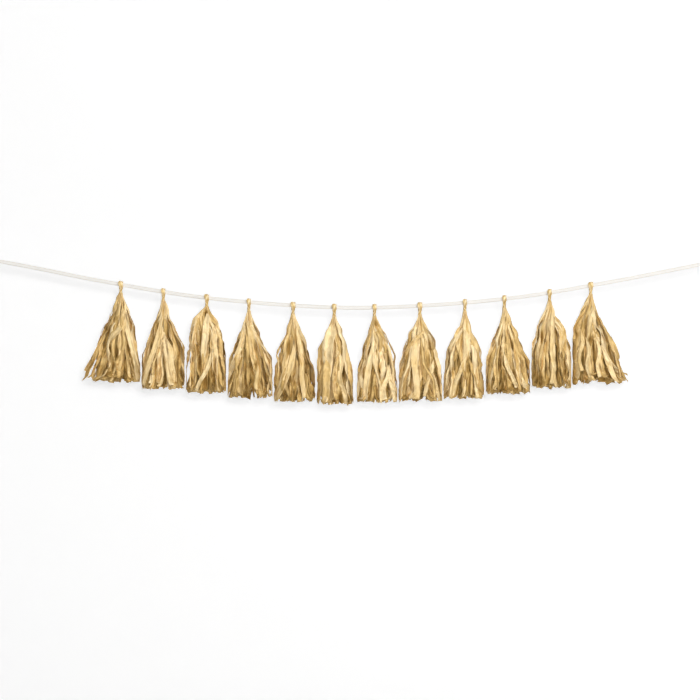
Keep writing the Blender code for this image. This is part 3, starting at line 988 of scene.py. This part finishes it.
for name, joint in swings.items():
    number = int(name[-2:])
    tassel = Tassel(number, Vector(joint["pos_m"]))
    for half, facing in (("back", 0.25), ("front", 0.75), ("inner", 0.5)):
        rng = random.Random(name + half)
        piece = bmesh.new()
        cut_width = 0
        if half == "inner":
            for k in range(3):
                cut_width += hang_sheet(
                    piece, tassel, rng, middle=k / 3, width=tassel.girth * 0.19, **inner_sheet)
        else:
            for k in range(2):
                cut_width += hang_sheet(piece, tassel, rng, middle=facing + (k - 0.5) * 0.25,
                                        width=tassel.girth * 0.24, **gathered_sheet)
            for many, widths, layer in strip_layers:
                for k in range(many):
                    place = k - (many - 1) / 2 + rng.uniform(-0.35, 0.35)
                    cut_width += hang_sheet(
                        piece, tassel, rng, middle=facing + place / (2 * many),
                        width=rng.uniform(*widths), count=1, slits=neck_slits, **layer)
            for k in range(4 if half == "front" else 3):
                cut_width += hang_sheet(
                    piece, tassel, rng, middle=facing + rng.uniform(-0.22, 0.22),
                    width=rng.uniform(0.006, 0.011), count=1, slits=neck_slits, **stray_strip)
            if half == "front":
                for route, width, tone in strand_routes[number]:
                    cut_width += lay_strand(piece, tassel, rng, route, width / 1000, tone)
        tissue_piece = finish_piece(
            name + "_" + half + "_tissue", piece, tissue, name + "_skirt",
            [name + "_" + half + "_strips"], paper_thickness)

# Backdrop and floor. One white sweep of paper stands behind the garland, beyond the reach of its
# tassels, and turns forward into the floor. Seen from behind, its wall lets the eye through.
wall_place = 1.8
floor_height = -1.60
sweep_radius = 0.15
sweep_left, sweep_right = -40.0, 42.0
floor_front = -45.0
wall_top = 5.0
bend_from, bend_to = 0.3, 0.7
paper_white = (0.95, 0.95, 0.95, 1)
glow_strength, faint_glow_strength = 1.0, 0.31
glow_near, glow_far = 2.5, 7.0


def sweep_place(along, side):
    """The floor runs back to a round bend, and from there the wall stands up."""
    floor_run = wall_place - sweep_radius - floor_front
    wall_run = wall_top - floor_height - sweep_radius
    run = (side + 1) / 2
    x = sweep_left + (sweep_right - sweep_left) * along
    if run < bend_from:
        y, z = floor_front + floor_run * run / bend_from, floor_height
    elif run > bend_to:
        rise = wall_run * (run - bend_to) / (1 - bend_to)
        y, z = wall_place, floor_height + sweep_radius + rise
    else:
        angle = (run - bend_from) / (bend_to - bend_from) * math.pi / 2
        y = wall_place - sweep_radius + math.sin(angle) * sweep_radius
        z = floor_height + sweep_radius - math.cos(angle) * sweep_radius
    return Vector((x, y, z)), (x, run)


def shown(paint):
    """Where light is only looked at: straight, or in something that mirrors or lets it through."""
    rays = [paint.node("ShaderNodeLightPath", output=name)
            for name in ("Is Camera Ray", "Is Glossy Ray", "Is Transmission Ray")]
    return paint.math("MINIMUM", rays[0] + rays[1] + rays[2], 1.0)


paper = bpy.data.materials.new("white_sweep")
paper.use_nodes = True
paint = Shade(paper.node_tree)
paper.node_tree.nodes.remove(paper.node_tree.nodes["Principled BSDF"])
white = paint.node("ShaderNodeBsdfDiffuse", values={"Color": paper_white})
glow, faint_glow = (
    paint.node("ShaderNodeEmission", values={"Color": (1, 1, 1, 1), "Strength": strength})
    for strength in (glow_strength, faint_glow_strength))
clear = paint.node("ShaderNodeBsdfTransparent")
seen = shown(paint)
spot = paint.node("ShaderNodeNewGeometry", output=0)
away = paint.node("ShaderNodeVectorMath", {"operation": "DISTANCE"},
                  {0: spot, 1: view_centre}, output=1)
far = paint.node("ShaderNodeMapRange", values={
    "Value": away, "From Min": glow_near, "From Max": glow_far, "To Min": 0.0, "To Max": 1.0})
paler = paint.node("ShaderNodeAddShader", values={0: white, 1: faint_glow})
near = paint.node("ShaderNodeMixShader", values={0: seen, 1: white, 2: paler})
lifted = paint.node("ShaderNodeMixShader", values={0: seen * far, 1: near, 2: glow})
behind = paint.node("ShaderNodeNewGeometry", output=6)
one_sided = paint.node("ShaderNodeMixShader", values={0: behind, 1: lifted, 2: clear})
paper.node_tree.links.new(
    one_sided.output, paper.node_tree.nodes["Material Output"].inputs["Surface"])
sweep_mesh = bpy.data.meshes.new("white_sweep")
bm = band(2, 60, sweep_place)
bm.to_mesh(sweep_mesh)
bm.free()
sweep_mesh.materials.append(paper)
sweep_mesh.shade_smooth()
sweep = bpy.data.objects.new("white_sweep", sweep_mesh)
bpy.context.collection.objects.link(sweep)

# Light. A large soft lamp stands high to the right, a small one near the camera gives the faint
# shadow on the backdrop, and the white room fills the rest. Each lamp has its place, size and
# power.
room_light = 0.13
lamps = (
    ("key", (3.2, -4.4, 3.4), 1.2, 172.0),
    ("front", (1.05, -8.0, -0.16), 0.13, 190.0),
)
for lamp_name, place, size, power in lamps:
    lamp_data = bpy.data.lights.new(lamp_name, "AREA")
    lamp_data.shape = "DISK"
    lamp_data.size = size
    lamp_data.energy = power
    lamp = bpy.data.objects.new(lamp_name, lamp_data)
    lamp.location = place
    lamp.visible_camera = False
    lamp.rotation_euler = (view_centre - Vector(place)).to_track_quat("-Z", "Y").to_euler()
    bpy.context.collection.objects.link(lamp)

world = bpy.data.worlds.new("white_room")
bpy.context.scene.world = world
world.use_nodes = True
paint = Shade(world.node_tree)
background = world.node_tree.nodes["Background"]
background.inputs["Color"].default_value = (1, 1, 1, 1)
seen = shown(paint)
world.node_tree.links.new(
    (room_light + seen * (1 - room_light)).output, background.inputs["Strength"])
